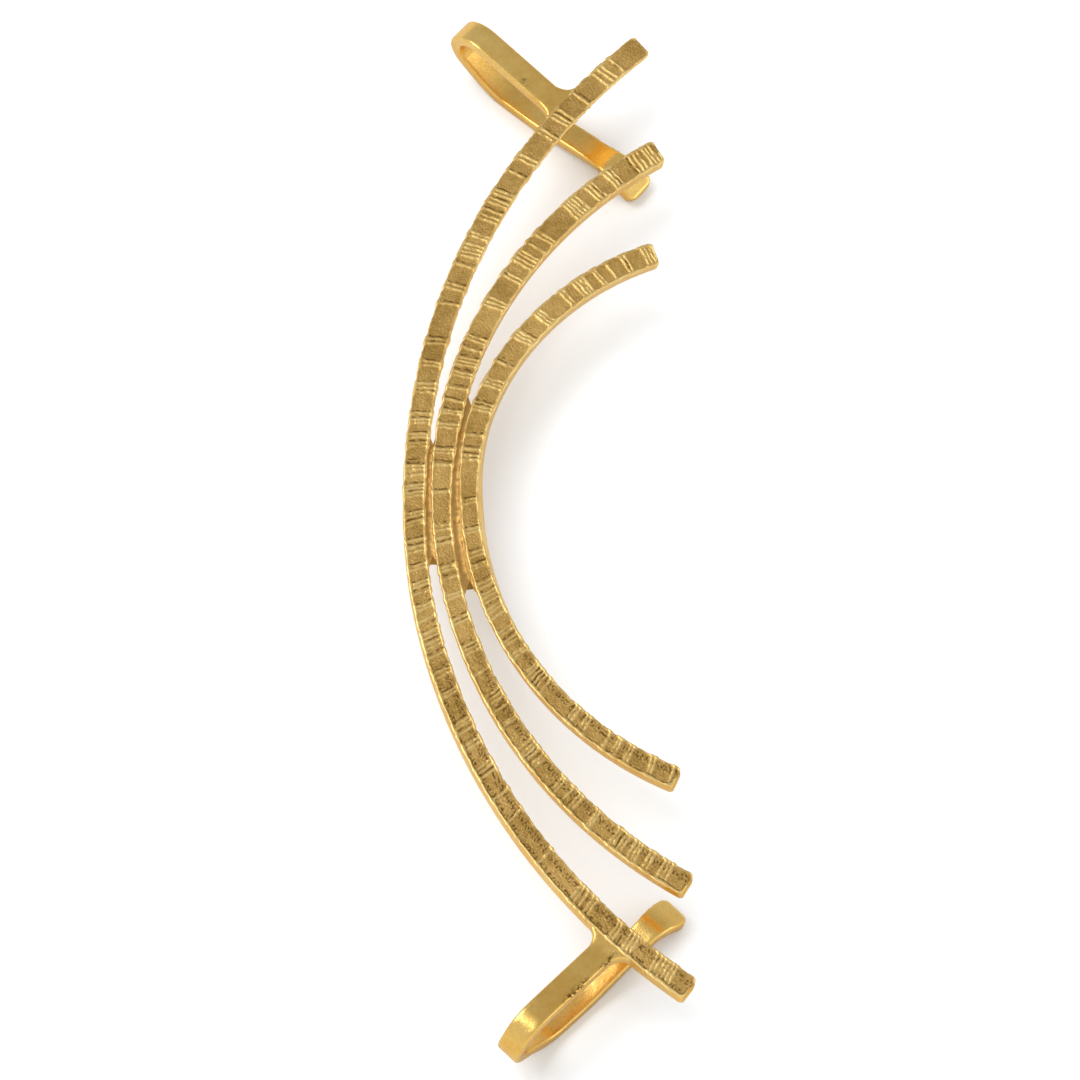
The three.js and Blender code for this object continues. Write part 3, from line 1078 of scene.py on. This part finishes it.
def make_tint_group():
    """Drifts a colour slowly between two tints of gold."""
    group, start, end = new_group(
        "gold tint",
        [("Vector", "NodeSocketVector", None), ("Deep", "NodeSocketColor", (0.7, 0.42, 0.12, 1)),
         ("Pale", "NodeSocketColor", (0.9, 0.62, 0.25, 1))],
        [("Color", "NodeSocketColor")],
    )
    broad = noise_texture(group, start.outputs["Vector"], BROAD_DRIFT, detail=2)
    fine = noise_texture(group, start.outputs["Vector"], FINE_DRIFT, detail=3)
    drift = stretch(group, mix_numbers(group, 0.35, broad, fine), 0.36, 0.64)
    tint = mix_colours(group, drift, start.outputs["Deep"], start.outputs["Pale"])
    link(group, tint, end.inputs["Color"])
    return group


def make_grain_group():
    """The fine relief of unpolished metal: grains and small sharp pits."""
    group, start, end = new_group(
        "metal grain",
        [("Vector", "NodeSocketVector", None), ("Pits", "NodeSocketFloat", 0.5)],
        [("Height", "NodeSocketFloat"), ("Mask", "NodeSocketFloat")],
    )
    grain = noise_texture(group, start.outputs["Vector"], GRAINS, detail=3, roughness=0.65)
    pit = add(group, "ShaderNodeTexVoronoi", scale=CASTING_PITS)
    link(group, start.outputs["Vector"], pit.inputs["Vector"])
    sharp = stretch(group, pit.outputs["Distance"], 0.0, 0.45)
    height = mix_numbers(group, start.outputs["Pits"], grain, sharp)
    link(group, height, end.inputs["Height"])
    link(group, grain, end.inputs["Mask"])
    return group


tint_group = make_tint_group()
grain_group = make_grain_group()


# %% Helpers for a gold material
def start_gold(name):
    """A metallic material without a colour, and the place of each point on its piece."""
    material = bpy.data.materials.new(name)
    material.use_nodes = True
    tree = material.node_tree
    tree.nodes.clear()
    output = tree.nodes.new("ShaderNodeOutputMaterial")
    shader = tree.nodes.new("ShaderNodeBsdfPrincipled")
    shader.inputs["Metallic"].default_value = 1.0
    link(tree, shader.outputs["BSDF"], output.inputs["Surface"])
    place = tree.nodes.new("ShaderNodeTexCoord").outputs["Object"]
    return material, tree, shader, place


def use_group(tree, group, place, **values):
    """Puts a shader group in a material, with its inputs set."""
    node = tree.nodes.new("ShaderNodeGroup")
    node.node_tree = group
    link(tree, place, node.inputs["Vector"])
    for name, value in values.items():
        node.inputs[name.title()].default_value = value
    return node


def add_bump(tree, shader, height, strength, distance):
    bump = add(tree, "ShaderNodeBump", strength=strength, distance=distance)
    link(tree, height, bump.inputs["Height"])
    link(tree, bump.outputs["Normal"], shader.inputs["Normal"])


def attribute(tree, name):
    """A number that was kept at the points of the piece."""
    return add(tree, "ShaderNodeAttribute", attribute_name=name).outputs["Fac"]


# %% [markdown]
# The bars need three golds in one material: matt brown-gold in the cells, a pale rubbed one on
# rims and ridges, and a warm orange one on the sides, which is painted reflection of the gold
# nearby; on the inner bar's hollow side the pale one stands as a painted bright reflection.
# Over these goes painted shade in the grooves, the specks and at the foot of the left rim. The
# weights kept at the points say which is where, so colour, roughness and relief all follow the
# carving exactly.

# %% Textured gold for the bars
DEEP_CELL, PALE_CELL = (0.34, 0.195, 0.045, 1), (0.65, 0.405, 0.122, 1)
DEEP_RIM, PALE_RIM = (0.84, 0.55, 0.175, 1), (0.98, 0.73, 0.3, 1)
# The sides' warm orange is painted reflection of the gold nearby.
DEEP_SIDE_REFLECTION, PALE_SIDE_REFLECTION = (0.92, 0.56, 0.11, 1), (0.98, 0.68, 0.2, 1)
# The dark of the painted shade on the bars, and of the stains and painted crease shadow on the
# clips.
DARK_SHADE_AND_STAIN = (0.13, 0.065, 0.015, 1)
RIM_ROUGHNESS, CELL_ROUGHNESS = 0.34, 0.52
RIM_GRAIN, CELL_GRAIN = 0.25, 1.0


def make_textured_gold():
    """Gold for the bars: pale rims and ridges, dark cells, painted reflection on the sides, painted
    shade.
    """
    material, tree, shader, place = start_gold("textured_gold")
    depth, shade = attribute(tree, "depth"), attribute(tree, "shade")
    cell, rim, side_reflection = (
        use_group(tree, tint_group, place, deep=deep, pale=pale).outputs["Color"]
        for deep, pale in ((DEEP_CELL, PALE_CELL), (DEEP_RIM, PALE_RIM), (DEEP_SIDE_REFLECTION, PALE_SIDE_REFLECTION))
    )
    # The sides take the painted reflection gold; the inner bar's hollow side mostly the pale rim
    # gold, a painted bright reflection.
    gold = mix_colours(tree, attribute(tree, "side"), mix_colours(tree, depth, rim, cell), side_reflection)
    # Painted shade darkens the grooves, the specks and the foot of the left rim.
    colour = mix_colours(tree, shade, gold, DARK_SHADE_AND_STAIN)
    link(tree, colour, shader.inputs["Base Color"])
    grain = use_group(tree, grain_group, place, pits=0.35)
    matt = mix_numbers(tree, depth, RIM_ROUGHNESS, CELL_ROUGHNESS)
    uneven = mix_numbers(tree, grain.outputs["Mask"], 0.8, 1.2)
    link(tree, multiply(tree, matt, uneven), shader.inputs["Roughness"])
    grain_share = mix_numbers(tree, depth, RIM_GRAIN, CELL_GRAIN)
    height = multiply(tree, grain.outputs["Height"], grain_share)
    add_bump(tree, shader, height, 0.9, 0.06 * MM)
    return material


# %% [markdown]
# The clips were polished, so they show soft bright and dark bands, bent a little by the hand
# work. The webs have the same finish, rougher and with more relief, because no polishing wheel
# reaches between the bars, and a deeper, darker tint, which is painted shade and painted
# reflection of the bars that close them in.


# %% Polished gold for the clips, and the solder webs
POLISHED = {
    "deep": (0.84, 0.51, 0.125, 1), "pale": (0.95, 0.665, 0.215, 1),
    "roughness": 0.26, "relief": 0.12 * MM,
}
# The webs' deeper, darker tint is painted shade and painted reflection of the bars around them.
SOLDER_WITH_PAINTED_SHADE = {
    "deep": (0.5, 0.29, 0.08, 1), "pale": (0.72, 0.46, 0.155, 1),
    "roughness": 0.46, "relief": 0.35 * MM,
}
STAIN_SPECKLES, WEAR_PATCHES, SWIRLS = 5200, 1400, 420  # to the metre


def make_polished_gold(name, deep, pale, roughness, relief):
    """Gold with fine wear, a slow swirl of hand work, and dark marks where they were charted:
    stains, and one painted crease shadow.
    """
    material, tree, shader, place = start_gold(name)
    tint = use_group(tree, tint_group, place, deep=deep, pale=pale)
    broken = stretch(tree, noise_texture(tree, place, STAIN_SPECKLES, detail=3), 0.42, 0.56)
    # A charted mark is a stain, except by the lower clip's root, where it is painted crease shade;
    # noise breaks both up.
    stain_and_crease_shade = multiply(tree, attribute(tree, "mark"), broken)
    colour = mix_colours(tree, stain_and_crease_shade, tint.outputs["Color"], DARK_SHADE_AND_STAIN)
    link(tree, colour, shader.inputs["Base Color"])
    wear = noise_texture(tree, place, WEAR_PATCHES, detail=5)
    worn = mix_numbers(tree, wear, roughness * 0.7, roughness * 1.3)
    link(tree, worn, shader.inputs["Roughness"])
    swirl = noise_texture(tree, place, SWIRLS, detail=3)
    grain = use_group(tree, grain_group, place, pits=0.1)
    height = mix_numbers(tree, 0.85, grain.outputs["Height"], swirl)
    add_bump(tree, shader, height, 0.5, relief)
    return material


textured_gold = make_textured_gold()
polished_gold = make_polished_gold("polished_gold", **POLISHED)
solder_gold_painted_shade = make_polished_gold("solder_gold_painted_shade", **SOLDER_WITH_PAINTED_SHADE)
for group_of_pieces, gold in ((bars, textured_gold), (clips, polished_gold), (webs, solder_gold_painted_shade)):
    for piece in group_of_pieces.values():
        piece.data.materials.clear()
        piece.data.materials.append(gold)
    print(gold.name, "on", list(group_of_pieces))

# %% [markdown]
# ## Standing for the imported node
#
# The plain solid stays in the imported model for its collision, hidden. Each detailed piece
# rides on the root body.

# %% Tie the pieces to the frame
for group_of_pieces in (bars, clips, webs):
    for piece in group_of_pieces.values():
        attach(piece, "root")
        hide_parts(NODE)
print(len(bars) + len(clips) + len(webs), "pieces stand for", NODE)

# %% [markdown]
# ## Table, light and camera
#
# The cuff lies on a plain white table. Paper takes light from everywhere, but gold that lies
# close to it also reflects it, and pure white there would wash the metal out. So a glossy ray
# finds the table a little darker and warmer than the eye does.

# %% Table
TABLE_SEEN, TABLE_REFLECTED = (0.91, 0.935, 0.96, 1), (0.65, 0.61, 0.54, 1)
bpy.ops.object.select_all(action="DESELECT")
bpy.ops.mesh.primitive_plane_add(size=3, location=(0, 0, 0))
table = bpy.context.object
table.name = "table"
paper = bpy.data.materials.new("white_paper")
paper.use_nodes = True
paper_shader = paper.node_tree.nodes["Principled BSDF"]
paper_shader.inputs["Roughness"].default_value = 0.9
ray = paper.node_tree.nodes.new("ShaderNodeLightPath").outputs["Is Glossy Ray"]
paper_colour = mix_colours(paper.node_tree, ray, TABLE_SEEN, TABLE_REFLECTED)
link(paper.node_tree, paper_colour, paper_shader.inputs["Base Color"])
table.data.materials.append(paper)
print(table.name, [round(side, 2) for side in table.dimensions], "m")

# %% [markdown]
# Polished metal shows its surroundings more than its light, so large panels do the lighting. A
# wide one at the upper left gives the clips something bright to reflect. The next, nearly
# overhead, throws the soft shadow on the table. It is left out of the reflections, where it
# would flatten the faces. A low one at the right picks out the inner sides.


# %% Light
def add_panel(name, place, width, height, power):
    """An area light that faces the cuff."""
    light = bpy.data.lights.new(name, "AREA")
    light.shape, light.size, light.size_y, light.energy = "RECTANGLE", width, height, power
    panel = bpy.data.objects.new(name, light)
    bpy.context.scene.collection.objects.link(panel)
    panel.location = place
    panel.rotation_euler = (-Vector(place)).to_track_quat("-Z", "Y").to_euler()
    return panel


add_panel("key_panel", (-0.45, 0.15, 0.65), 0.45, 0.45, 2.1)
shadow_panel = add_panel("shadow_panel", (-0.14, 0.16, 0.7), 0.42, 0.42, 1.2)
shadow_panel.visible_glossy = False
add_panel("side_panel", (0.6, -0.1, 0.22), 0.5, 0.2, 0.45)
print(len(bpy.data.lights), "panels")

# %% [markdown]
# The sky does two jobs, as a white tent with one dark side does. What lights the table is even
# and white, so the shadows are faint and soft. What the metal reflects is bright low down
# and dimmer overhead, where the camera hangs, and brighter in front than behind, which draws
# each ridge with a light and a dark flank.

# %% Sky
TABLE_LIGHT = 0.92
# What the metal reflects: its strength at the horizon, and its change to the right, away, and up.
SKY_BASE, SKY_CHANGES = 0.84, {"X": 0.05, "Y": -0.24, "Z": -0.28}
SKY_LEAST, SKY_MOST = 0.25, 1.2

world = bpy.data.worlds.new("studio")
bpy.context.scene.world = world
world.use_nodes = True
sky = world.node_tree
direction = add(sky, "ShaderNodeSeparateXYZ")
link(sky, sky.nodes.new("ShaderNodeTexCoord").outputs["Generated"], direction.inputs[0])
brightness = SKY_BASE
for axis, change in SKY_CHANGES.items():
    term = add(sky, "ShaderNodeMath", operation="MULTIPLY_ADD")
    for socket, value in zip(term.inputs, (direction.outputs[axis], change, brightness)):
        feed(sky, value, socket)
    brightness = term.outputs[0]
limit = add(sky, "ShaderNodeClamp", min=SKY_LEAST, max=SKY_MOST)
link(sky, brightness, limit.inputs["Value"])
sky_ray = sky.nodes.new("ShaderNodeLightPath").outputs["Is Glossy Ray"]
strength = mix_numbers(sky, sky_ray, TABLE_LIGHT, limit.outputs[0])
link(sky, strength, sky.nodes["Background"].inputs["Strength"])
sky.nodes["Background"].inputs["Color"].default_value = (1, 1, 1, 1)
print("sky from", SKY_LEAST, "to", SKY_MOST, "and", TABLE_LIGHT, "for the table")

# %% [markdown]
# A long lens from well above shows a flat jewel without stretching it. The camera leans back
# from straight above by the tilt, so that the clips' bends and the bars' front sides show.

# %% Camera
LENS = 300.67
VIEW_TILT = math.radians(24)
VIEW_TURN = math.radians(2.31)
VIEW_DISTANCE = 577.28 * MM
LOOK_AT = Vector((-0.24, -1.618, 5.607)) * MM
camera_data = bpy.data.cameras.new("camera")
camera_data.lens, camera_data.sensor_width = LENS, 36
camera_data.clip_start, camera_data.clip_end = 0.01, 10
camera = bpy.data.objects.new("camera", camera_data)
bpy.context.scene.collection.objects.link(camera)
back = VIEW_DISTANCE * math.sin(VIEW_TILT)
towards = Vector((-back * math.sin(VIEW_TURN), -back * math.cos(VIEW_TURN), 0))
camera.location = LOOK_AT + towards + Vector((0, 0, VIEW_DISTANCE * math.cos(VIEW_TILT)))
camera.rotation_euler = (LOOK_AT - camera.location).to_track_quat("-Z", "Y").to_euler()
bpy.context.scene.camera = camera
bpy.context.scene.view_settings.view_transform = "Standard"
print("camera at", [round(place, 3) for place in camera.location], "m")
